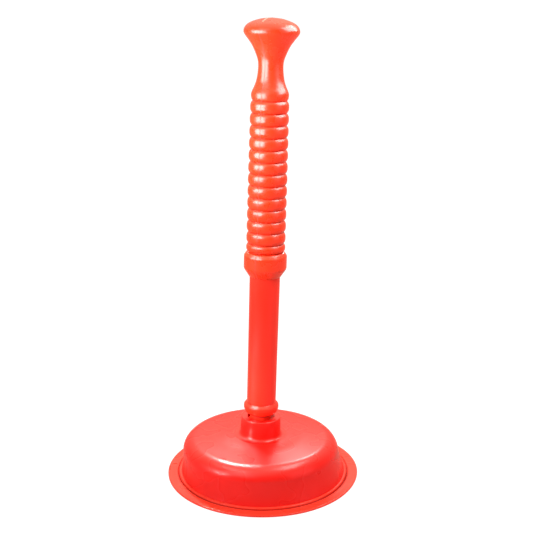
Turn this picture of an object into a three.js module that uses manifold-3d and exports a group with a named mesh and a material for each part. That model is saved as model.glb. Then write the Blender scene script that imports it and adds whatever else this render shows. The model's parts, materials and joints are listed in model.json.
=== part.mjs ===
// Toilet plunger: a soft cup with a flat lip, a neck with a screw socket, and a hollow
// handle of a stem tube, a threaded plug, a stop ring and a ribbed grip with a knob.
// Millimetres, +Z up. The origin is the middle of the cup's mouth, on the surface it
// rests on. The cup stands upright; the handle leans a little towards +X, as it settles.
import * as THREE from 'three';
import { mergeVertices } from 'three/addons/utils/BufferGeometryUtils.js';
import Module from 'manifold-3d';

const wasm = await Module();
wasm.setup();

// ---- driving dimensions -------------------------------------------------------------
const overallHeight = 400;
const gap = 0.3;

const lipRadius = 86;
const lipThickness = 2;
const cupWall = 2.6;
const footRadius = 74;
const stepHeight = 3.3;
const shoulderRadius = 13;
const shoulderRing = 57.2;
const shoulderHeight = 21;
const crownSlope = 0.062;
const crownRim = 56;
const flexRim = 48;
const rootRim = 32;

const neckFootRadius = 18.3;
const neckRimRadius = 17.4;
const neckRimHeight = 54.2;
const neckFillet = 3.2;
const socketFloor = 38;
const socketRadius = 11.9;

const handleLean = THREE.MathUtils.degToRad(1.6);
const pivotHeight = 34.3;

const threadPitch = 4.2;
const threadRoot = 9.6;
const threadCrest = 11.3;
const socketThreadCrest = 10.3;
const threadBase = 1.8;
const threadTip = 0.9;

const plugBottom = 41;
const plugTop = 102;
const ringBottom = 58.1;
const ringTop = 67.9;
const ringRadius = 15.45;
const tubeBottomRadius = 12.65;
const tubeTopRadius = 12.95;
const tubeBore = 11;
const tubeTop = 299.7;

const gripBottom = 184.6;
const collarRadius = 18.3;
const collarLow = 192.4;
const collarHigh = 202.2;
const collarTop = 206.4;
const ribPitch = 10.03;
const firstGroove = 213.8;
const grooveCount = 13;
const grooveDepth = 1.4;
const lowRibRadius = 16.5;
const highRibRadius = 15.8;
const waistRadius = 10.1;
const waistHeight = 359;
const knobRadius = 22.9;
const knobRimHeight = 390.2;
const gripWall = 2.4;

const fineSides = 40;
const plainSides = 28;
const threadSteps = 16;

// ---- materials ----------------------------------------------------------------------
const gripPlastic = { color: 0xff5230, roughness: 0.3, metalness: 0 };
const stemPlastic = { color: 0xff3f2a, roughness: 0.35, metalness: 0 };
const cupRubber = { color: 0xf53a34, roughness: 0.45, metalness: 0 };

// ---- helpers ------------------------------------------------------------------------
const at = (radius, height) => new THREE.Vector2(radius, height);

// A body of revolution about Z, from an outline of radius and height.
function revolve(outline, sides) {
  const points = THREE.ShapeUtils.isClockWise(outline) ? outline.slice().reverse() : outline;
  const closed = points[0].x === 0 ? points : [...points, points[0]];
  return new THREE.LatheGeometry(closed, sides).rotateX(Math.PI / 2);
}

// Points along a circular arc, from one angle to another, both ends included.
function arc(centre, radius, fromDegrees, toDegrees, steps) {
  return Array.from({ length: steps + 1 }, (_, i) => {
    const turn = THREE.MathUtils.degToRad(THREE.MathUtils.lerp(fromDegrees, toDegrees, i / steps));
    return at(centre.x + radius * Math.cos(turn), centre.y + radius * Math.sin(turn));
  });
}

// Points along a smooth curve through a few given points.
const through = (points, steps) => new THREE.SplineCurve(points).getPoints(steps);

function toSolid(geometry) {
  const bare = geometry.clone();
  bare.deleteAttribute('normal');
  bare.deleteAttribute('uv');
  const merged = mergeVertices(bare, 1e-4);
  const vertProperties = Float32Array.from(merged.attributes.position.array);
  const triVerts = Uint32Array.from(merged.index.array);
  return new wasm.Manifold(new wasm.Mesh({ numProp: 3, vertProperties, triVerts }));
}

function toGeometry(solid) {
  const { vertProperties, triVerts } = solid.getMesh();
  const geometry = new THREE.BufferGeometry();
  geometry.setAttribute('position', new THREE.BufferAttribute(vertProperties, 3));
  geometry.setIndex(new THREE.BufferAttribute(triVerts, 1));
  return geometry;
}

function part(name, geometry, finish) {
  const mesh = new THREE.Mesh(geometry, new THREE.MeshStandardMaterial(finish));
  mesh.name = name;
  return mesh;
}

// A right-hand helical ridge from a buried radius to a crest radius, with blunt ends.
function threadRidge({ buried, base, crest, low, turns }) {
  const steps = Math.round(turns * threadSteps);
  const positions = [];
  for (let i = 0; i <= steps; i += 1) {
    const turn = (i / threadSteps) * 2 * Math.PI;
    const middle = low + (i / threadSteps) * threadPitch;
    const section = [
      [buried, middle - threadBase / 2],
      [base, middle - threadBase / 2],
      [crest, middle - threadTip / 2],
      [crest, middle + threadTip / 2],
      [base, middle + threadBase / 2],
      [buried, middle + threadBase / 2],
    ];
    for (const [radius, height] of section) {
      positions.push(radius * Math.cos(turn), radius * Math.sin(turn), height);
    }
  }
  const count = 6;
  const outward = crest > base;
  const faces = [];
  const add = (a, b, c) => faces.push(...(outward ? [a, b, c] : [a, c, b]));
  for (let i = 0; i < steps; i += 1) {
    for (let j = 0; j < count; j += 1) {
      const a = i * count + j;
      const b = i * count + ((j + 1) % count);
      add(a, a + count, b);
      add(b, a + count, b + count);
    }
  }
  const last = steps * count;
  for (let j = 1; j < count - 1; j += 1) {
    add(0, j, j + 1);
    add(last, last + j + 1, last + j);
  }
  const geometry = new THREE.BufferGeometry();
  geometry.setAttribute('position', new THREE.Float32BufferAttribute(positions, 3));
  geometry.setIndex(faces);
  return geometry;
}

// ---- cup ----------------------------------------------------------------------------
// Height of the crown's upper face at a radius: a shallow cone inside the shoulder arc.
const crownAngle = 90 - THREE.MathUtils.radToDeg(Math.atan(crownSlope));
const crownEdge = arc(at(shoulderRing, shoulderHeight), shoulderRadius, 0, crownAngle, 1)[1];
const crownTop = (radius) => crownEdge.y + (crownEdge.x - radius) * crownSlope;

function cupLip() {
  const inner = footRadius - cupWall;
  return revolve([
    at(inner, 0),
    at(lipRadius - 0.4, 0),
    at(lipRadius, 0.5),
    at(lipRadius - 0.3, lipThickness - 0.5),
    at(lipRadius - 1.2, lipThickness),
    at(footRadius + 2.2, lipThickness + 0.2),
    at(footRadius + 1.6, stepHeight - 0.3),
    at(footRadius + 0.5, stepHeight),
    at(inner, stepHeight),
  ], fineSides);
}

function cupWallShell() {
  const wallTop = shoulderRing + shoulderRadius;
  const bottom = stepHeight + gap;
  const outer = [
    at(footRadius, bottom),
    at(footRadius - 1.6, 9),
    at(wallTop + 1, 15),
    ...arc(at(shoulderRing, shoulderHeight), shoulderRadius, 0, crownAngle, 7),
    at(crownRim, crownTop(crownRim)),
  ];
  const inner = [
    at(crownRim, crownTop(crownRim) - cupWall),
    ...arc(at(shoulderRing, shoulderHeight), shoulderRadius - cupWall, crownAngle, 0, 5),
    at(wallTop + 1 - cupWall, 15),
    at(footRadius - 1.6 - cupWall, 9),
    at(footRadius - cupWall, bottom),
  ];
  return revolve([...outer, ...inner], fineSides);
}

// A ring of the crown between two radii, the full wall thick.
function crownRing(outer, inner) {
  return revolve([
    at(outer, crownTop(outer) - cupWall),
    at(outer, crownTop(outer)),
    at(inner, crownTop(inner)),
    at(inner, crownTop(inner) - cupWall),
  ], fineSides);
}

function cupNeck() {
  const footHeight = crownTop(neckFootRadius + neckFillet);
  const foot = rootRim - gap;
  const body = revolve([
    at(0, crownTop(0) - cupWall - 0.4),
    at(foot, crownTop(foot) - cupWall),
    at(foot, crownTop(foot)),
    ...arc(at(neckFootRadius + neckFillet, footHeight + neckFillet), neckFillet, 270, 186, 3),
    at(neckRimRadius + 0.1, neckRimHeight - 1),
    at(neckRimRadius - 0.7, neckRimHeight),
    at(socketRadius + 0.4, neckRimHeight),
    at(socketRadius, neckRimHeight - 0.6),
    at(socketRadius, socketFloor),
    at(0, socketFloor),
  ], plainSides);
  const ridge = threadRidge({
    buried: socketRadius + 0.8,
    base: socketRadius,
    crest: socketThreadCrest,
    low: socketFloor + 1.9 + threadPitch / 2,
    turns: 2.5,
  });
  return toGeometry(toSolid(body).add(toSolid(ridge)));
}

// ---- handle, drawn upright; its group leans it --------------------------------------
function threadedPlug() {
  const shank = tubeBore - gap;
  const body = revolve([
    at(0, plugBottom),
    at(threadRoot - 0.8, plugBottom),
    at(threadRoot, plugBottom + 0.8),
    at(threadRoot, ringBottom - 0.6),
    at(shank, ringBottom + 0.4),
    at(shank, plugTop - 1),
    at(shank - 1, plugTop),
    at(shank - 2.6, plugTop),
    at(shank - 2.6, ringTop + 4),
    at(0, ringTop + 4),
  ], plainSides);
  const ridge = threadRidge({
    buried: threadRoot - 0.8,
    base: threadRoot,
    crest: threadCrest,
    low: socketFloor + 1.9 + threadPitch,
    turns: 2.75,
  });
  return toGeometry(toSolid(body).add(toSolid(ridge)));
}

function stopRing() {
  return revolve([
    at(tubeBore, ringBottom),
    ...through([
      at(12.2, ringBottom),
      at(14.2, ringBottom + 2.2),
      at(ringRadius, ringBottom + 6.2),
      at(14.6, ringTop - 0.8),
      at(12.9, ringTop),
    ], 8),
    at(tubeBore, ringTop),
  ], plainSides);
}

function stemTube() {
  const bottom = ringTop + gap;
  return revolve([
    at(tubeBore, bottom),
    at(tubeBottomRadius, bottom),
    at(tubeTopRadius, gripBottom),
    at(tubeTopRadius, tubeTop),
    at(tubeBore, tubeTop),
  ], plainSides);
}

// The ribs: full between the grooves, with a round back, and slimmer towards the knob.
function ribOutline() {
  const across = [-0.5, -0.3, 0, 0.3];
  const points = [];
  for (let rib = 0; rib < grooveCount - 1; rib += 1) {
    const crest = THREE.MathUtils.lerp(lowRibRadius, highRibRadius, (rib / (grooveCount - 2)) ** 2);
    for (const u of across) {
      const height = firstGroove + (rib + 0.5 + u) * ribPitch;
      points.push(at(crest - grooveDepth * Math.abs(2 * u) ** 2.5, height));
    }
  }
  return points;
}

function gripShell() {
  const bore = tubeTopRadius + gap;
  const seat = tubeTop + gap;
  const topGroove = firstGroove + (grooveCount - 1) * ribPitch;
  const innerBore = bore - 1.7;
  const collar = [
    at(bore, gripBottom),
    at(bore + 0.6, gripBottom),
    at(collarRadius - 0.7, collarLow - 1.8),
    at(collarRadius, collarLow),
    at(collarRadius, collarHigh),
    at(collarRadius - 1, collarTop - 1.6),
    at(lowRibRadius - 0.7, collarTop),
    at(lowRibRadius, (collarTop + firstGroove) / 2),
  ];
  const waist = through([
    at(highRibRadius - grooveDepth, topGroove),
    at(15.35, 339.4),
    at(12.9, 346),
    at(waistRadius, waistHeight),
    at(12.4, 371.5),
    at(17, 380.4),
    at(21.6, 386.5),
    at(knobRadius, knobRimHeight),
    at(20.9, 394.2),
    at(14.6, 397.4),
    at(7, 399.3),
    at(0, overallHeight),
  ], 21);
  const hollow = [
    at(0, overallHeight - gripWall),
    ...through([
      at(10, overallHeight - gripWall - 1.8),
      at(knobRadius - 3.2, knobRimHeight + 0.4),
      at(knobRadius - 4.6, knobRimHeight - 3.8),
      at(waistRadius - 0.4, 370.5),
      at(waistRadius - gripWall, waistHeight),
      at(innerBore, topGroove + 3),
    ], 8),
    at(innerBore, seat),
    at(bore, seat),
  ];
  return revolve([...collar, ...ribOutline(), ...waist, ...hollow], plainSides);
}

// ---- assembly -----------------------------------------------------------------------
const cup = new THREE.Group();
cup.add(
  part('cup_lip', cupLip(), cupRubber),
  part('cup_wall', cupWallShell(), cupRubber),
  part('cup_crown_outer', crownRing(crownRim - gap, flexRim + gap), cupRubber),
  part('cup_crown_inner', crownRing(flexRim - gap, rootRim + gap), cupRubber),
);

const handle = new THREE.Group();
handle.rotation.y = handleLean;
handle.position.x = -pivotHeight * Math.sin(handleLean);
handle.position.z = pivotHeight * (1 - Math.cos(handleLean));
handle.add(
  part('cup_neck', cupNeck(), cupRubber),
  part('threaded_plug', threadedPlug(), stemPlastic),
  part('stop_ring', stopRing(), stemPlastic),
  part('stem_tube', stemTube(), stemPlastic),
  part('grip_shell', gripShell(), gripPlastic),
);

const group = new THREE.Group();
group.add(cup, handle);

export default group;
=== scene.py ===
"""Toilet plunger: a soft red cup and a hollow ribbed handle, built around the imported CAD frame.

Outlines are in millimetres of radius and height, and every mesh is made in metres. The cup
stands upright on the row's Z axis. The handle's pieces are drawn upright too, and LEAN then
puts them where the frame's unscrew joint says that the handle's axis lies.
"""
import json
import math

import bmesh
import bpy
import numpy as np
from mathutils import Matrix, Vector


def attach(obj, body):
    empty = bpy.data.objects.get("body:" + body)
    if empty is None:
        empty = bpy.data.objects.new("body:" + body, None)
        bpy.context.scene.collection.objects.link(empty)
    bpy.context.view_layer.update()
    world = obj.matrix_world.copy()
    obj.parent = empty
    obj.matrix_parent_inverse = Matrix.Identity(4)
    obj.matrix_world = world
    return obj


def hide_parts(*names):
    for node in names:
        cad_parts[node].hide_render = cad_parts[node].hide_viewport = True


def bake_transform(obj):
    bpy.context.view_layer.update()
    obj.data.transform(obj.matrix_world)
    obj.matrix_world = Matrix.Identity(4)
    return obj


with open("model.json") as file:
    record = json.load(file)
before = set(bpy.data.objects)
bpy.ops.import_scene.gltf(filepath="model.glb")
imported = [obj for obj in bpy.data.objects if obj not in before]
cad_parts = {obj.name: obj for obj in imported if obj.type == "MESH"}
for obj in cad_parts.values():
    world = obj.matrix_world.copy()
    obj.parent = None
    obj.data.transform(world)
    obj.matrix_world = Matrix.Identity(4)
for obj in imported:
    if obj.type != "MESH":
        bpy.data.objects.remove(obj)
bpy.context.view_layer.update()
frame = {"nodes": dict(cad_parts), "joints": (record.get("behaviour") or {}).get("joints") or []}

MM = 0.001
TURN = 2 * math.pi

# ---- places and sizes read from the frame ------------------------------------------------
JOINTS = {joint["name"]: joint for joint in frame["joints"]}
HANDLE_AXIS = Vector(JOINTS["unscrew"]["axis"]).normalized()
PIVOT = Vector(JOINTS["unscrew"]["pos_m"])
LEAN = (
    Matrix.Translation(PIVOT)
    @ Vector((0, 0, 1)).rotation_difference(HANDLE_AXIS).to_matrix().to_4x4()
    @ Matrix.Translation(-PIVOT)
)
UPRIGHT = LEAN.inverted()


def reach(node, place=None):
    """(lowest height, highest height, largest radius) of a CAD node about its own axis, in mm."""
    points = [vertex.co for vertex in frame["nodes"][node].data.vertices]
    if place is not None:
        points = [place @ point for point in points]
    heights = [point.z for point in points]
    radii = [math.hypot(point.x, point.y) for point in points]
    return min(heights) / MM, max(heights) / MM, max(radii) / MM


LIP_LOW, LIP_STEP, LIP_RADIUS = reach("cup_lip")
_, WALL_HIGH, FOOT_RADIUS = reach("cup_wall")
_, NECK_TOP, _ = reach("cup_neck", UPRIGHT)
PLUG_LOW, PLUG_HIGH, _ = reach("threaded_plug", UPRIGHT)
RING_LOW, RING_HIGH, RING_RADIUS = reach("stop_ring", UPRIGHT)
STEM_LOW, STEM_HIGH, STEM_RADIUS = reach("stem_tube", UPRIGHT)
GRIP_LOW, GRIP_HIGH, KNOB_RADIUS = reach("grip_shell", UPRIGHT)

# ---- driving dimensions of the shapes, in mm ---------------------------------------------
LIP_THICK = 2.0
LIP_SLIDE = 2.2
CREASE_PLACE = 2.4
CREASE_HALF_WIDTH = 0.8
CUP_WALL = 2.6
SHOULDER_RADIUS = 13.0
SHOULDER_RING = 57.2
SHOULDER_HEIGHT = 21.6
CROWN_SLOPE = 0.062
CROWN_RIM = 56.0
FLEX_MIDDLE = 40.0
NECK_FOOT = 24.0
NECK_FOOT_RADIUS = 18.3
NECK_RIM_RADIUS = 17.5
NECK_FILLET = 2.5
SOCKET_RADIUS = 11.9
SOCKET_FLOOR = 38.0

THREAD_PITCH = 4.2
THREAD_ROOT = 9.6
THREAD_HEIGHT = 1.7
THREAD_BASE = 1.8
THREAD_TIP = 0.9
MALE_THREAD_LOW = 44.1
FEMALE_THREAD_LOW = 42.0
FEMALE_THREAD_CREST = 10.3
THREAD_FADE = 1.5
THREAD_STEP = 0.25

RING_DROP = 0.1
STEM_BORE = 11.0
STEM_FOOT_RADIUS = 12.9
COLLAR_RADIUS = 18.5
COLLAR_LOW = 192.4
COLLAR_HIGH = 202.2
COLLAR_TOP = 206.6
RIB_PITCH = 10.03
FIRST_GROOVE = 213.8
GROOVES = 13
GROOVE_DEPTH = 1.8
GROOVE_HALF_WIDTH = 0.55
RIB_ROUNDNESS = 2.8
LOW_RIB = 16.75
HIGH_RIB = 16.1
WAIST_RADIUS = 10.4
WAIST_HEIGHT = 359.0
GRIP_WALL = 2.4

KNOB_EDGE = (390, 396)
PARTING_END = (388, 396)
KNOB_UNDERSIDE = 386
DOME_FOOT = 394
PARTING_ANGLE = math.radians(243)
PARTING_HALF_WIDTH = 0.3
PARTING_HEIGHT = 0.08
SCAR_INNER = 5.0
SCAR_OUTER = 16.5
SCAR_HALF_WIDTH = 0.6
SCAR_HEIGHT = 0.5

# Radii at which a distance across the parting line or the scar is turned into an angle.
ON_RIBS = 16.0
ON_SCAR = 6.0

ROUND = 144
RIB_STEPS = 18
SECTORS = 8
SECTOR_STEPS = 24
FLEX_STEPS = 24
HARD_EDGE = math.radians(38)
PLASTIC_IOR = 1.5


# ---- outlines ----------------------------------------------------------------------------
def smoothstep(low, high, value):
    share = np.clip((np.asarray(value, float) - low) / (high - low), 0, 1)
    return share * share * (3 - 2 * share)


def arc(centre, radius, start, end, steps):
    """Points on a circular arc, from one angle to another in degrees."""
    angles = np.radians(np.linspace(start, end, steps + 1))
    return [(centre[0] + radius * math.cos(a), centre[1] + radius * math.sin(a)) for a in angles]


def rounded(corners, steps=5):
    """An outline of corners, each (radius, height, fillet). A fillet is a quadratic curve."""
    points = []
    for i, (x, y, fillet) in enumerate(corners):
        here = Vector((x, y))
        if fillet == 0 or i in (0, len(corners) - 1):
            points.append((x, y))
            continue
        before = Vector(corners[i - 1][:2]) - here
        after = Vector(corners[i + 1][:2]) - here
        half = before.angle(after) / 2
        trim = min(fillet / math.tan(half), before.length * 0.49, after.length * 0.49)
        first = here + before.normalized() * trim
        last = here + after.normalized() * trim
        for step in range(steps + 1):
            t = step / steps
            point = first * (1 - t) ** 2 + here * (2 * t * (1 - t)) + last * t**2
            points.append((point.x, point.y))
    return points


def through(points, steps):
    """A smooth curve through points: a Catmull-Rom spline with the same steps in each span."""
    knots = np.array(points, float)
    ends = np.vstack([2 * knots[0] - knots[1], knots, 2 * knots[-1] - knots[-2]])
    curve = []
    for i in range(1, len(ends) - 2):
        p0, p1, p2, p3 = ends[i - 1 : i + 3]
        for t in np.linspace(0, 1, steps, endpoint=False):
            square = (2 * p0 - 5 * p1 + 4 * p2 - p3) * t**2
            cube = (3 * p1 - p0 - 3 * p2 + p3) * t**3
            curve.append(0.5 * (2 * p1 + (p2 - p0) * t + square + cube))
    curve.append(knots[-1])
    return [tuple(point) for point in curve]


def dense(outline, step):
    """The same outline with no stretch longer than step."""
    points = [outline[0]]
    for (x0, y0), (x1, y1) in zip(outline, outline[1:]):
        pieces = max(1, math.ceil(math.hypot(x1 - x0, y1 - y0) / step))
        for k in range(1, pieces + 1):
            points.append((x0 + (x1 - x0) * k / pieces, y0 + (y1 - y0) * k / pieces))
    return points


# ---- meshes ------------------------------------------------------------------------------
def full_round(extra=()):
    """Angles all the way round, with finer steps at each side of some angles in extra."""
    angles = set(np.round(np.linspace(0, TURN, ROUND, endpoint=False), 6))
    for angle, offsets in extra:
        for offset in offsets:
            angles.add(round((angle + offset) % TURN, 6))
    return sorted(angles)


def revolved_faces(index, closed, sector):
    """The faces of a turned outline, from its vertex numbers by turn and outline point. An
    outline is closed back to its first point, except where that point is on the axis."""
    turns, count = index.shape
    faces = []
    for i in range(turns - 1 if sector else turns):
        n = (i + 1) % turns
        for j in range(count if closed else count - 1):
            k = (j + 1) % count
            face = [index[i, j], index[n, j], index[n, k], index[i, k]]
            face = list(dict.fromkeys(face))
            if len(face) > 2:
                faces.append(face)
    if sector:
        for i, flip in ((0, False), (turns - 1, True)):
            for j in range(count // 2 - 1):
                face = [index[i, j], index[i, j + 1], index[i, -2 - j], index[i, -1 - j]]
                faces.append(face[::-1] if flip else face)
    return faces


def revolve(name, outline, angles, shape=None, place=None, sector=False):
    """A closed mesh of an outline turned about Z. shape moves its points, given as arrays of
    radius, angle and height in mm. A sector is a slice, closed by a cap at each side."""
    outline = np.array(outline, float)
    count, turns = len(outline), len(angles)
    radius, turn = np.meshgrid(outline[:, 0], np.array(angles), indexing="xy")
    height = np.tile(outline[:, 1], (turns, 1))
    if shape is not None:
        radius, height = shape(radius, turn, height)
    points = np.stack([radius * np.cos(turn), radius * np.sin(turn), height], -1) * MM
    vertices, index = [], np.zeros((turns, count), int)
    for j in range(count):
        on_axis = outline[j, 0] < 1e-9
        for i in range(turns):
            if on_axis and i:
                index[i, j] = index[0, j]
                continue
            index[i, j] = len(vertices)
            vertices.append(points[i, j])

    closed = outline[0, 0] > 1e-9
    mesh = bpy.data.meshes.new(name)
    mesh.from_pydata(vertices, [], revolved_faces(index, closed, sector))
    mesh.update()
    finish_mesh(mesh)
    if place is not None:
        mesh.transform(place)
    piece = bpy.data.objects.new(name, mesh)
    bpy.context.scene.collection.objects.link(piece)
    return piece


def finish_mesh(mesh):
    """Faces turned outwards and shaded smooth, with hard edges where they meet at an angle."""
    work = bmesh.new()
    work.from_mesh(mesh)
    bmesh.ops.recalc_face_normals(work, faces=work.faces)
    if work.calc_volume(signed=True) < 0:
        bmesh.ops.reverse_faces(work, faces=work.faces)
    for face in work.faces:
        face.smooth = True
    for edge in work.edges:
        edge.smooth = len(edge.link_faces) == 2 and edge.calc_face_angle(0) < HARD_EDGE
    work.to_mesh(mesh)
    work.free()
    mesh.update()


# ---- materials ---------------------------------------------------------------------------
class Surface:
    """A Principled material whose colour, roughness and bump are built up from noise."""

    def __init__(self, name, color, roughness, specular):
        self.material = bpy.data.materials.new(name)
        self.material.use_nodes = True
        self.tree = self.material.node_tree
        self.shader = self.tree.nodes["Principled BSDF"]
        self.shader.inputs["Base Color"].default_value = (*color, 1)
        self.shader.inputs["Roughness"].default_value = roughness
        self.shader.inputs["IOR"].default_value = PLASTIC_IOR
        self.shader.inputs["Specular IOR Level"].default_value = specular
        self.place = self.tree.nodes.new("ShaderNodeTexCoord").outputs["Object"]
        self.bump = None

    def node(self, kind, **inputs):
        made = self.tree.nodes.new(kind)
        for key, value in inputs.items():
            made.inputs[key.replace("_", " ")].default_value = value
        return made

    def join(self, output, target):
        self.tree.links.new(output, target)

    def noise(self, size_mm, detail, stretch=(1, 1, 1)):
        """Noise between 0 and 1 whose lumps are about size_mm across."""
        mapping = self.node("ShaderNodeMapping")
        mapping.inputs["Scale"].default_value = tuple(s / (size_mm * MM) for s in stretch)
        self.join(self.place, mapping.inputs["Vector"])
        noise = self.node("ShaderNodeTexNoise", Scale=1.0, Detail=detail, Roughness=0.5)
        self.join(mapping.outputs[0], noise.inputs["Vector"])
        return noise.outputs["Fac"]

    def ramp(self, source, low, high, start, end):
        """source from low to high, mapped to start to end."""
        made = self.node("ShaderNodeMapRange")
        made.inputs["From Min"].default_value = low
        made.inputs["From Max"].default_value = high
        made.inputs["To Min"].default_value = start
        made.inputs["To Max"].default_value = end
        self.join(source, made.inputs["Value"])
        return made.outputs["Result"]

    def tint(self, source, other):
        """Mixes the base colour so far towards other by source."""
        mix = self.node("ShaderNodeMix")
        mix.data_type = "RGBA"
        first, second = [socket for socket in mix.inputs if socket.type == "RGBA"]
        base = self.shader.inputs["Base Color"]
        if base.is_linked:
            self.join(base.links[0].from_socket, first)
        else:
            first.default_value = base.default_value
        second.default_value = (*other, 1)
        self.join(source, mix.inputs["Factor"])
        result = next(socket for socket in mix.outputs if socket.type == "RGBA")
        self.join(result, base)

    def rough(self, source):
        self.join(source, self.shader.inputs["Roughness"])

    def raise_by(self, source, height_mm):
        """Adds a bump of that height to the surface."""
        bump = self.node("ShaderNodeBump", Distance=height_mm * MM, Strength=1.0)
        self.join(source, bump.inputs["Height"])
        if self.bump is not None:
            self.join(self.bump, bump.inputs["Normal"])
        self.bump = bump.outputs["Normal"]
        self.join(self.bump, self.shader.inputs["Normal"])

    def math(self, operation, *values):
        """A math node. Its values are sockets or numbers."""
        made = self.tree.nodes.new("ShaderNodeMath")
        made.operation = operation
        for socket, value in zip(made.inputs, values):
            if isinstance(value, (int, float)):
                socket.default_value = value
            else:
                self.join(value, socket)
        return made.outputs[0]

    def attribute(self, name):
        made = self.tree.nodes.new("ShaderNodeAttribute")
        made.attribute_name = name
        return made.outputs["Fac"]


def grip_plastic():
    """Glossy moulded plastic, with the marks that mark_moulding_and_shade puts on the grip: a
    paler flash, and painted shade on the parting lines and in the grooves.
    """
    s = Surface("grip_plastic", (0.88, 0.029, 0.004), 0.26, specular=0.65)
    s.tint(s.ramp(s.noise(22, 2), 0.35, 0.7, 0, 0.35), (0.84, 0.025, 0.004))
    s.tint(s.ramp(s.noise(1.1, 2), 0.62, 0.8, 0, 0.15), (0.9, 0.05, 0.015))
    gloss = s.ramp(s.noise(9, 4), 0.3, 0.7, 0.24, 0.32)
    parting = s.attribute("parting")
    s.rough(s.math("MULTIPLY_ADD", parting, 0.4, gloss))
    s.raise_by(s.noise(14, 1), 0.12)
    s.raise_by(s.noise(1.6, 2), 0.003)
    # Painted shade: darker colour along the parting lines, for the ridge's shade.
    s.tint(s.ramp(parting, 0.1, 0.9, 0, 0.6), (0.4, 0.01, 0.003))
    # Painted shade: darker colour at the bottom of each groove, under the rib above.
    s.tint(s.ramp(s.attribute("groove"), 0.1, 1.0, 0, 0.75), (0.3, 0.008, 0.002))
    s.tint(s.ramp(s.attribute("scar"), 0.15, 0.8, 0, 0.7), (0.9, 0.42, 0.33))
    return s.material


def stem_plastic(name, specular, smoothest, roughest):
    """Smooth plastic drawn out along its length, with painted shade where the mesh's point
    attribute for crease shade says so."""
    s = Surface(name, (0.88, 0.019, 0.006), 0.34, specular=specular)
    s.tint(s.ramp(s.noise(16, 2, (1, 1, 0.12)), 0.35, 0.7, 0, 0.4), (0.83, 0.018, 0.007))
    s.rough(s.ramp(s.noise(5, 3, (1, 1, 0.15)), 0.3, 0.7, smoothest, roughest))
    s.raise_by(s.noise(7, 1, (1, 1, 0.05)), 0.04)
    s.raise_by(s.noise(1.2, 2, (1, 1, 0.2)), 0.003)
    # Painted shade: darker colour where the point attribute marks a crease or slit.
    s.tint(s.ramp(s.attribute("crease_shade"), 0.1, 0.9, 0, 0.9), (0.25, 0.003, 0.002))
    return s.material


def cup_rubber(name, color, specular, smoothest=0.24, roughest=0.32):
    """Soft glossy rubber, with a faint grain, slow changes of colour and gloss, and painted
    shade where the mesh's point attribute for crease shade says so."""
    s = Surface(name, color, 0.28, specular=specular)
    s.tint(s.ramp(s.noise(30, 2), 0.35, 0.7, 0, 0.4), tuple(0.86 * c for c in color))
    s.tint(s.ramp(s.noise(1.3, 2), 0.6, 0.8, 0, 0.15), (0.78, 0.02, 0.015))
    s.rough(s.ramp(s.noise(20, 1), 0.1, 0.9, smoothest, roughest))
    s.raise_by(s.noise(24, 1), 0.08)
    s.raise_by(s.noise(2.2, 2), 0.005)
    # Painted shade: darker colour where the point attribute marks a crease.
    s.tint(s.ramp(s.attribute("crease_shade"), 0.1, 0.9, 0, 0.85), (0.25, 0.004, 0.003))
    return s.material


def floor_paper():
    """Pale paper, lit from below where it is behind the object and greyer to the front and
    sides, as paper is outside the pool of the background light."""
    s = Surface("floor_paper", (0.15, 0.15, 0.15), 0.9, specular=0.0)
    s.tint(s.ramp(s.noise(300, 2), 0.3, 0.7, 0, 0.2), (0.13, 0.13, 0.13))
    split = s.node("ShaderNodeSeparateXYZ")
    s.join(s.place, split.inputs[0])
    behind = s.ramp(split.outputs["Y"], -0.4, -0.12, 0, 1)
    sideways = s.math("ABSOLUTE", split.outputs["X"])
    beside = s.ramp(s.math("MULTIPLY_ADD", split.outputs["Y"], -0.3, sideways), 0.4, 1.0, 1, 0)
    pool = s.math("MULTIPLY", behind, beside)
    s.shader.inputs["Emission Color"].default_value = (1, 1, 1, 1)
    s.join(s.ramp(pool, 0, 1, 0.5, 0.95), s.shader.inputs["Emission Strength"])
    return s.material


GRIP = grip_plastic()
STEM = stem_plastic("stem_plastic", 0.35, 0.28, 0.4)
RING = stem_plastic("ring_plastic", 0.6, 0.13, 0.2)
CUP = cup_rubber("cup_rubber", (0.76, 0.008, 0.005), 0.36)
NECK = cup_rubber("neck_rubber", (0.76, 0.008, 0.005), 0.5, 0.13, 0.2)
# Painted light: the cup's own rubber, lighter and more orange for the light on the lip's flat
# top.
LIP_LIT_RUBBER = cup_rubber("lip_rubber_lit", (0.8, 0.032, 0.016), 0.24)


def add_attribute(piece, name, values):
    """A value for each vertex, which a material can read."""
    piece.data.attributes.new(name, "FLOAT", "POINT").data.foreach_set("value", values)


def dress(piece, material, slot, *nodes):
    """Gives a piece its material and hides the CAD nodes it stands for. The slot is not used."""
    piece.data.materials.append(material)
    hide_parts(*nodes)
    return piece


# ---- cup ---------------------------------------------------------------------------------
CROWN_ANGLE = 90 - math.degrees(math.atan(CROWN_SLOPE))
CROWN_EDGE = arc((SHOULDER_RING, SHOULDER_HEIGHT), SHOULDER_RADIUS, 0, CROWN_ANGLE, 1)[-1]


def crown_top(radius):
    """Height of the crown's upper face."""
    return CROWN_EDGE[1] + (CROWN_EDGE[0] - radius) * CROWN_SLOPE


def leaning(radius, turn, height):
    """Eases the upright crown into the leaning neck, between the middle of the flex and the
    neck's foot. The lean only lifts and lowers the crown there."""
    share = 1 - smoothstep(NECK_FOOT, FLEX_MIDDLE, radius)
    sideways = radius * np.cos(turn)
    return radius, height - share * sideways * HANDLE_AXIS.x


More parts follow.
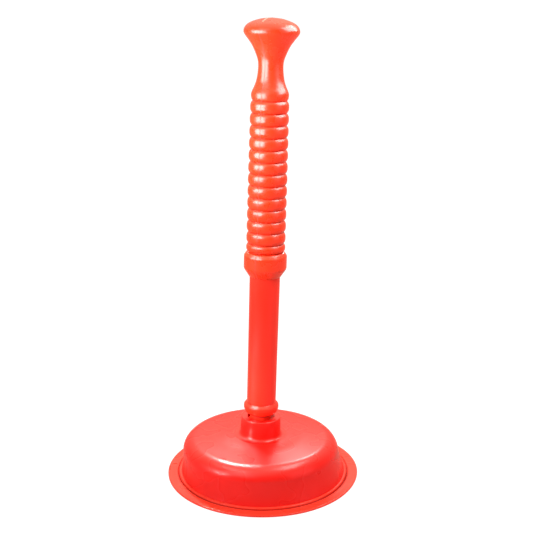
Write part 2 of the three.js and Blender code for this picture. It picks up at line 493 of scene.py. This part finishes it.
def lip_waves(radius, turn, height):
    """The thin lip's edge lifts a little off the floor in places."""
    lift = 0.45 + 0.35 * np.sin(2 * turn + 2.6) + 0.2 * np.sin(3 * turn + 2.1)
    outward = np.clip((radius - FOOT_RADIUS - 3) / (LIP_RADIUS - FOOT_RADIUS - 3), 0, 1) ** 2
    spread = 0.25 * np.sin(2 * turn + 1.1) + 0.15 * np.sin(5 * turn)
    return radius + spread * outward - 0.2 * outward, height + np.maximum(lift, 0) * outward


def slide(piece, top):
    """Slides a piece sideways as the lip has slid under the leaning handle, less and less up to
    the height top, in mm."""
    for vertex in piece.data.vertices:
        share = 1 - float(smoothstep(LIP_STEP, top, vertex.co.z / MM))
        vertex.co.x += share * LIP_SLIDE * MM


def build_lip():
    """The thin flat lip, with a small step and painted shade in the crease at the wall's foot."""
    inner = FOOT_RADIUS - CUP_WALL
    crease_bottom = LIP_THICK - 0.9
    outline = rounded([
        (inner, LIP_LOW, 0),
        (inner + 1.2, LIP_LOW, 0),
        (LIP_RADIUS, LIP_LOW, 0.6),
        (LIP_RADIUS, LIP_THICK - 0.3, 0.9),
        (FOOT_RADIUS + 3.6, LIP_THICK + 0.1, 0.3),
        (FOOT_RADIUS + CREASE_PLACE, crease_bottom, 0.3),
        (FOOT_RADIUS + 1.7, LIP_STEP, 0.8),
        (FOOT_RADIUS + 0.1, LIP_STEP + 0.1, 0.3),
        (inner, LIP_STEP, 0),
    ])
    lip = revolve("cup_lip_skin", dense(outline, 0.8), full_round(), shape=lip_waves)
    # Painted shade: a mask that darkens the colour in the crease at the wall's foot.
    crease_shade = []
    for vertex in lip.data.vertices:
        x, y, z = vertex.co / MM
        beside = math.hypot(x, y) - FOOT_RADIUS - CREASE_PLACE
        off = math.hypot(beside, z - LIP_THICK + 0.6)
        crease_shade.append(math.exp(-((off / CREASE_HALF_WIDTH) ** 2)))
    add_attribute(lip, "crease_shade", crease_shade)
    slide(lip, WALL_HIGH)
    # The lip wears the lighter copy of the rubber, which is painted light.
    dress(lip, LIP_LIT_RUBBER, "cup_rubber", "cup_lip")
    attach(lip, "cup")


def build_wall():
    """The wall and the round shoulder, up to the crown's rim, which on the real cup give way
    when the handle is pushed down."""
    wall_top = SHOULDER_RING + SHOULDER_RADIUS
    side = [
        (FOOT_RADIUS, LIP_STEP - 0.2),
        (FOOT_RADIUS - 1.6, 9),
        (wall_top + 1, 15),
        (wall_top, SHOULDER_HEIGHT),
    ]
    outer = through(side, 6)[:-1]
    outer += arc((SHOULDER_RING, SHOULDER_HEIGHT), SHOULDER_RADIUS, 0, CROWN_ANGLE, 26)
    outer += [(CROWN_RIM, crown_top(CROWN_RIM))]
    inner_radius = SHOULDER_RADIUS - CUP_WALL
    inner = [(CROWN_RIM, crown_top(CROWN_RIM) - CUP_WALL)]
    inner += arc((SHOULDER_RING, SHOULDER_HEIGHT), inner_radius, CROWN_ANGLE, 0, 20)
    inner += [(r - CUP_WALL, h) for r, h in through(side[::-1], 6)[1:]]
    wall = revolve("cup_wall_skin", dense(outer, 1.0) + inner, full_round())
    slide(wall, SHOULDER_HEIGHT + 8)
    dress(wall, CUP, "cup_rubber", "cup_wall")
    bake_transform(wall)


def build_flex(name, node, outer, inner, shape=None):
    """A ring of the crown, cut like a cake into capped slices, because a slice can bend along
    its own radius."""
    radii = np.linspace(outer, inner, FLEX_STEPS + 1)
    top = [(r, crown_top(r)) for r in radii]
    under = [(r, crown_top(r) - CUP_WALL) for r in radii[::-1]]
    slice_angle = TURN / SECTORS
    for k in range(SECTORS):
        angles = np.linspace(k * slice_angle, (k + 1) * slice_angle, SECTOR_STEPS + 1)
        piece = revolve(f"{name}_{k + 1}", top + under, angles, shape, sector=True)
        dress(piece, CUP, "cup_rubber", node)
        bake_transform(piece)


def build_crown():
    """The two rings of the crown, where the real cup bends: the outer one when the handle tilts
    forwards or back, and the inner one when it tilts to a side."""
    build_flex("crown_flex_outer", "cup_crown_outer", CROWN_RIM, FLEX_MIDDLE)
    build_flex("crown_flex_inner", "cup_crown_inner", FLEX_MIDDLE, NECK_FOOT, leaning)


def neck_thread(radius, turn, height):
    """The neck's own lean is in its place, so this only cuts the thread in the socket."""
    inside = np.abs(radius - SOCKET_RADIUS) < 0.05
    ridge = thread_ridge(turn, height, FEMALE_THREAD_LOW, SOCKET_FLOOR + 2, NECK_TOP - 1)
    depth = SOCKET_RADIUS - FEMALE_THREAD_CREST
    return radius - np.where(inside, ridge * depth / THREAD_HEIGHT, 0), height


def thread_ridge(turn, height, low, fade_low, fade_high):
    """Height of a right-hand thread's ridge over its root, fading out at both ends."""
    along = (height - low - THREAD_PITCH * turn / TURN) % THREAD_PITCH
    off = np.minimum(along, THREAD_PITCH - along)
    flank = (THREAD_BASE - THREAD_TIP) / 2
    ridge = np.clip((THREAD_BASE / 2 - off) / flank, 0, 1) * THREAD_HEIGHT
    fade_in = smoothstep(fade_low, fade_low + THREAD_FADE, height)
    fade_out = 1 - smoothstep(fade_high - THREAD_FADE, fade_high, height)
    return ridge * (fade_in * fade_out)


def build_neck():
    """The neck, its foot in the crown and its threaded socket."""
    foot_height = crown_top(NECK_FOOT_RADIUS + NECK_FILLET)
    outline = [(0, crown_top(0) - CUP_WALL - 0.4), (9, crown_top(9) - CUP_WALL - 0.2)]
    outline += [(NECK_FOOT, crown_top(NECK_FOOT) - CUP_WALL), (NECK_FOOT, crown_top(NECK_FOOT))]
    fillet_centre = (NECK_FOOT_RADIUS + NECK_FILLET, foot_height + NECK_FILLET)
    outline += arc(fillet_centre, NECK_FILLET, 270, 186, 12)
    outline += rounded([
        (NECK_FOOT_RADIUS, foot_height + NECK_FILLET + 0.3, 0),
        (NECK_RIM_RADIUS, NECK_TOP + 0.1, 1.1),
        (NECK_RIM_RADIUS - 3.2, NECK_TOP - 0.2, 1.5),
        (SOCKET_RADIUS, NECK_TOP - 0.5, 0.5),
        (SOCKET_RADIUS, NECK_TOP - 3, 0),
    ])
    socket = [(SOCKET_RADIUS, NECK_TOP - 3), (SOCKET_RADIUS, SOCKET_FLOOR)]
    outline += dense(socket, THREAD_STEP)[1:]
    outline += [(0, SOCKET_FLOOR)]
    neck = revolve("cup_neck_skin", outline, full_round(), shape=neck_thread, place=LEAN)
    dress(neck, NECK, "cup_rubber", "cup_neck")
    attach(neck, "neck")


# ---- handle ------------------------------------------------------------------------------
def build_ring():
    """The bead at the handle's foot, which stops just above the neck."""
    outline = rounded([
        (STEM_BORE, RING_LOW - RING_DROP, 0),
        (12.9, RING_LOW - RING_DROP, 0.4),
        (14.3, RING_LOW + 1.2, 1.8),
        (15.6, RING_LOW + 4.6, 3.0),
        (RING_RADIUS + 0.1, RING_LOW + 6.4, 2.0),
        (RING_RADIUS - 0.1, RING_HIGH - 2.2, 1.4),
        (13.3, RING_HIGH + 0.1, 0.5),
        (STEM_BORE, RING_HIGH + 0.1, 0),
    ], 6)
    ring = revolve("stop_ring_skin", outline, full_round(), place=LEAN)
    dress(ring, RING, "stem_plastic", "stop_ring")
    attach(ring, "ring")


def build_plug():
    """The threaded end of the handle, with painted shade in the slit under the bead, and its
    shank in the stem."""
    shank = STEM_BORE - 0.3

    def thread(radius, turn, height):
        on_root = np.abs(radius - THREAD_ROOT) < 0.02
        ridge = thread_ridge(turn, height, MALE_THREAD_LOW, PLUG_LOW + 1.5, NECK_TOP - 0.6)
        return radius + np.where(on_root, ridge, 0), height

    outline = [(0, PLUG_LOW), (THREAD_ROOT - 0.8, PLUG_LOW)]
    outline += dense([(THREAD_ROOT, PLUG_LOW + 0.8), (THREAD_ROOT, RING_LOW - 1.8)], THREAD_STEP)
    outline += [(shank, RING_LOW - 1.5), (shank, PLUG_HIGH - 1), (shank - 1, PLUG_HIGH)]
    outline += [(shank - 2.6, PLUG_HIGH), (shank - 2.6, RING_HIGH + 4), (0, RING_HIGH + 4)]
    plug = revolve("threaded_plug_skin", outline, full_round(), shape=thread, place=LEAN)
    heights = [(UPRIGHT @ vertex.co).z / MM for vertex in plug.data.vertices]
    # Painted shade: the shank's colour is darkened in the slit under the bead.
    slit_low, slit_high = RING_LOW - 2.9, RING_LOW - 1.7
    add_attribute(plug, "crease_shade", smoothstep(slit_low, slit_high, heights))
    dress(plug, STEM, "stem_plastic", "threaded_plug")
    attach(plug, "handle")


def build_stem():
    """The plain tube between the bead and the grip."""
    outline = rounded([
        (STEM_BORE, STEM_LOW, 0),
        (STEM_FOOT_RADIUS, STEM_LOW, 0.3),
        (STEM_FOOT_RADIUS, 104, 30),
        (STEM_RADIUS + 0.2, GRIP_LOW - 8, 30),
        (STEM_RADIUS, STEM_HIGH, 0.3),
        (STEM_BORE, STEM_HIGH, 0),
    ])
    stem = revolve("stem_tube_skin", dense(outline, 4), full_round(), place=LEAN)
    dress(stem, STEM, "stem_plastic", "stem_tube")
    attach(stem, "handle")


def ribs():
    """The grip's ribs, from the collar to the top groove: wide, round-backed, narrow grooves."""
    points = []
    half_rib = FIRST_GROOVE - COLLAR_TOP
    for u in np.linspace(-0.5, 0.5, 15)[:-1]:
        rise = 1 - abs(2 * u) ** RIB_ROUNDNESS
        points.append((LOW_RIB - GROOVE_DEPTH * (1 - rise), COLLAR_TOP + (u + 0.5) * half_rib))
    for rib in range(GROOVES - 1):
        share = (rib / (GROOVES - 2)) ** 2
        crest = LOW_RIB + (HIGH_RIB - LOW_RIB) * share
        for u in np.linspace(-0.5, 0.5, RIB_STEPS + 1)[:-1]:
            rise = 1 - abs(2 * u) ** RIB_ROUNDNESS
            height = FIRST_GROOVE + (rib + 0.5 + u) * RIB_PITCH
            points.append((crest - GROOVE_DEPTH * (1 - rise), height))
    return points


def grip_marks(radius, turn, height):
    """The two parting lines down the moulding, and the pinched flash on the knob's top, which
    is on one side only."""
    ridge = np.zeros_like(radius)
    lift = np.zeros_like(radius)
    for angle in (PARTING_ANGLE, PARTING_ANGLE + math.pi):
        off = (turn - angle + math.pi) % TURN - math.pi
        across = radius * np.sin(off)
        line = np.exp(-((across / PARTING_HALF_WIDTH) ** 2)) * (np.cos(off) > 0)
        ridge += PARTING_HEIGHT * line
        on_top = smoothstep(*KNOB_EDGE, height)
        scar = np.exp(-((across / SCAR_HALF_WIDTH) ** 4)) * (np.cos(off) > 0)
        along = smoothstep(SCAR_INNER - 1, SCAR_INNER + 1, radius)
        along = along * (1 - smoothstep(SCAR_OUTER - 1, SCAR_OUTER + 1, radius))
        lift += SCAR_HEIGHT * scar * along * on_top * (angle == PARTING_ANGLE)
    outside = radius > 1e-6
    on_side = 1 - smoothstep(*PARTING_END, height)
    return radius + ridge * outside * on_side, height + lift


def build_grip():
    """The hollow grip: collar, ribs, waist and knob in one moulding."""
    bore = STEM_RADIUS + 0.3
    seat = STEM_HIGH + 0.3
    top_groove = FIRST_GROOVE + (GROOVES - 1) * RIB_PITCH
    collar = rounded([
        (bore, GRIP_LOW, 0),
        (bore + 0.55, GRIP_LOW, 0.15),
        (COLLAR_RADIUS - 0.6, COLLAR_LOW - 1.6, 2.2),
        (COLLAR_RADIUS, COLLAR_LOW, 2.0),
        (COLLAR_RADIUS, COLLAR_HIGH + 0.7, 2.2),
        (COLLAR_RADIUS - 1.8, COLLAR_TOP - 1.0, 1.5),
        (LOW_RIB - GROOVE_DEPTH, COLLAR_TOP, 0),
    ], 6)
    outer = through([
        (HIGH_RIB - GROOVE_DEPTH, top_groove),
        (15.3, top_groove + 1.9),
        (15.65, top_groove + 5.0),
        (14.9, 342.0),
        (13.1, 346),
        (11.5, 351),
        (WAIST_RADIUS, WAIST_HEIGHT),
        (10.65, 366),
        (12.6, 371.8),
        (15.5, 378),
        (18.9, 382.9),
        (21.6, 386.3),
        (22.75, 388.3),
        (KNOB_RADIUS + 0.05, 389.9),
        (22.6, 391.6),
        (21.5, 393.6),
        (18.9, 395.9),
        (14.2, 398.0),
        (8.0, 399.7),
        (0, GRIP_HIGH + 0.5),
    ], 8)
    hollow = through([
        (0, GRIP_HIGH - GRIP_WALL),
        (10, GRIP_HIGH - GRIP_WALL - 1.8),
        (KNOB_RADIUS - 3.4, 391.5),
        (KNOB_RADIUS - 4.6, 386.4),
        (WAIST_RADIUS - 0.4, 370.5),
        (WAIST_RADIUS - GRIP_WALL, WAIST_HEIGHT),
        (bore - 1.7, top_groove + 3),
    ], 5)
    hollow += [(bore - 1.7, seat), (bore, seat)]
    outline = dense(collar, 1.5)[:-1] + ribs() + outer + hollow
    fine = [off / ON_RIBS for off in (-0.8, -0.45, -0.22, 0, 0.22, 0.45, 0.8)]
    fine += [off / ON_SCAR for off in (-1.6, -0.9, -0.6, 0.6, 0.9, 1.6)]
    extra = [(PARTING_ANGLE, fine), (PARTING_ANGLE + math.pi, fine)]
    grip = revolve("grip_skin", outline, full_round(extra), shape=grip_marks, place=LEAN)
    mark_moulding_and_shade(grip)
    dress(grip, GRIP, "grip_plastic", "grip_shell")
    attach(grip, "handle")


def mark_moulding_and_shade(grip):
    """Point attributes that are 1 on the pinched flash, on the parting lines and at the bottom
    of the grooves. The torn edge is paler, and the lines and grooves are darkened with painted
    shade."""
    scar, parting, groove = [], [], []
    scar_middle = 0.5 * (SCAR_INNER + SCAR_OUTER)
    scar_reach = 0.5 * (SCAR_OUTER - SCAR_INNER) + 0.55
    grooves = [COLLAR_TOP] + [FIRST_GROOVE + rib * RIB_PITCH for rib in range(GROOVES)]
    for vertex in grip.data.vertices:
        point = UPRIGHT @ vertex.co / MM
        radius = math.hypot(point.x, point.y)
        off = math.atan2(point.y, point.x) - PARTING_ANGLE
        across = abs(radius * math.sin(off))
        along = abs(radius - scar_middle)
        on_scar = point.z > DOME_FOOT and along < scar_reach and math.cos(off) > 0
        scar.append(max(0.0, 1 - across / (1.6 * SCAR_HALF_WIDTH)) if on_scar else 0.0)
        # Parting-line mask: it roughens the line, and darkens its colour with painted shade.
        line = math.exp(-((across / PARTING_HALF_WIDTH) ** 2))
        parting.append(line if point.z < KNOB_UNDERSIDE else 0.0)
        # Nearness to a groove, for the painted shade in the grooves.
        nearest = min(abs(point.z - height) for height in grooves)
        groove.append(math.exp(-((nearest / GROOVE_HALF_WIDTH) ** 2)))
    for name, values in (("scar", scar), ("parting", parting), ("groove", groove)):
        add_attribute(grip, name, values)


# ---- stage, in metres --------------------------------------------------------------------
STAGE_SIZE = 3.0
BACKDROP_HEIGHT = 2.0
FLOOR_DROP = -0.0002


def softbox(name, spot, aim, width, height, radiance, spread=180):
    """A soft rectangle of light at spot, facing aim, in metres. A grid narrows it to a spread
    in degrees."""
    data = bpy.data.lights.new(name, "AREA")
    data.shape = "RECTANGLE"
    data.size, data.size_y = width, height
    data.energy = radiance * math.pi * width * height
    data.spread = math.radians(spread)
    light = bpy.data.objects.new(name, data)
    light.location = spot
    light.rotation_euler = (Vector(aim) - Vector(spot)).to_track_quat("-Z", "Y").to_euler()
    light.visible_camera = False
    bpy.context.scene.collection.objects.link(light)


def paper_mesh(name, corners, faces, paper):
    """A piece of the studio, which only the camera and soft light see, not reflections."""
    mesh = bpy.data.meshes.new(name)
    mesh.from_pydata(corners, [], faces)
    mesh.materials.append(paper)
    sheet = bpy.data.objects.new(name, mesh)
    sheet.visible_glossy = False
    bpy.context.scene.collection.objects.link(sheet)
    return sheet


def build_paper():
    """A floor with its far edge turned up, and a backdrop round its other three sides. The
    backdrop is there for the camera only, so it takes no light away."""
    paper = floor_paper()
    ends = [(-1, -1), (1, -1), (1, 1), (-1, 1)]
    low = [(x * STAGE_SIZE, y * STAGE_SIZE, 0) for x, y in ends]
    high = [(x, y, BACKDROP_HEIGHT) for x, y, _ in low]
    floor_faces = [(0, 1, 2, 3), (3, 2, 4, 5)]
    floor = paper_mesh("floor", low + [high[2], high[3]], floor_faces, paper)
    floor.location.z = FLOOR_DROP
    backdrop_faces = [(2, 1, 5, 6), (1, 0, 4, 5), (0, 3, 7, 4)]
    backdrop = paper_mesh("backdrop", low + high, backdrop_faces, paper)
    backdrop.visible_diffuse = False
    backdrop.visible_shadow = False


def build_lights():
    """Small boxes close to the handle make its highlights, small ones behind it make the
    crescents on the cup's shoulder, and large ones far off fill in."""
    softbox("softbox_left", (-0.15, -0.11, 0.34), (0, 0, 0.34), 0.2, 0.17, 10, 150)
    softbox("softbox_right", (0.2, 0.01, 0.5), (0, 0, 0.36), 0.26, 0.18, 10)
    shoulder_left, shoulder_right = (-0.03, -0.05, 0.03), (0.04, -0.05, 0.03)
    softbox("softbox_back_left", (-0.088, 0.216, 0.389), shoulder_left, 0.07, 0.07, 19, 60)
    softbox("softbox_back_right", (0.1, 0.3, 0.32), shoulder_right, 0.12, 0.02, 7, 60)
    softbox("softbox_low_left", (-0.2, -0.14, 0.11), (0, 0, 0.067), 0.07, 0.05, 4, 34)
    softbox("softbox_front", (-0.6, -0.9, 0.9), (0, 0, 0.15), 0.9, 0.7, 2)
    softbox("softbox_fill_left", (-1.1, -0.5, 0.4), (0, 0, 0.15), 0.9, 0.8, 1.2)
    softbox("softbox_fill_right", (1.1, -0.6, 0.5), (0, 0, 0.2), 0.9, 0.9, 0.8)


def direction_ramp(tree, source, low, high, start, end):
    """A smooth change from start to end, as one part of the direction goes from low to high."""
    made = tree.nodes.new("ShaderNodeMapRange")
    made.interpolation_type = "SMOOTHSTEP"
    made.inputs["From Min"].default_value = low
    made.inputs["From Max"].default_value = high
    made.inputs["To Min"].default_value = start
    made.inputs["To Max"].default_value = end
    tree.links.new(source, made.inputs["Value"])
    return made.outputs[0]


def build_world():
    """Warm white all round: dim in front and low down, and brightest overhead."""
    world = bpy.data.worlds.new("studio")
    world.use_nodes = True
    tree = world.node_tree
    place = tree.nodes.new("ShaderNodeTexCoord")
    split = tree.nodes.new("ShaderNodeSeparateXYZ")
    tree.links.new(place.outputs["Generated"], split.inputs[0])
    behind = direction_ramp(tree, split.outputs["Y"], -0.3, 0.9, 0.25, 1.0)
    raised = direction_ramp(tree, split.outputs["Z"], 0.1, 0.45, 0.45, 1.0)
    overhead = direction_ramp(tree, split.outputs["Z"], 0.45, 1.0, 0.0, 1.5)
    mixed = tree.nodes.new("ShaderNodeMath")
    mixed.operation = "MULTIPLY_ADD"
    for source, target in zip((behind, raised, overhead), mixed.inputs):
        tree.links.new(source, target)
    background = tree.nodes["Background"]
    background.inputs["Color"].default_value = (1, 0.92, 0.74, 1)
    tree.links.new(mixed.outputs[0], background.inputs["Strength"])
    bpy.context.scene.world = world
    bpy.context.scene.view_settings.view_transform = "Standard"


CAMERA_LENS = 63.87
CAMERA_PITCH = 14.98
CAMERA_SPOT = (0.0056, -0.7879, 0.4034)


def build_camera():
    data = bpy.data.cameras.new("camera")
    data.lens = CAMERA_LENS
    data.sensor_width = 36
    data.clip_start = 0.01
    camera = bpy.data.objects.new("camera", data)
    camera.location = CAMERA_SPOT
    camera.rotation_euler = (math.radians(90 - CAMERA_PITCH), 0, 0)
    bpy.context.scene.collection.objects.link(camera)
    bpy.context.scene.camera = camera


build_camera()
build_paper()
build_lights()
build_world()
build_lip()
build_wall()
build_crown()
build_neck()
build_ring()
build_plug()
build_stem()
build_grip()
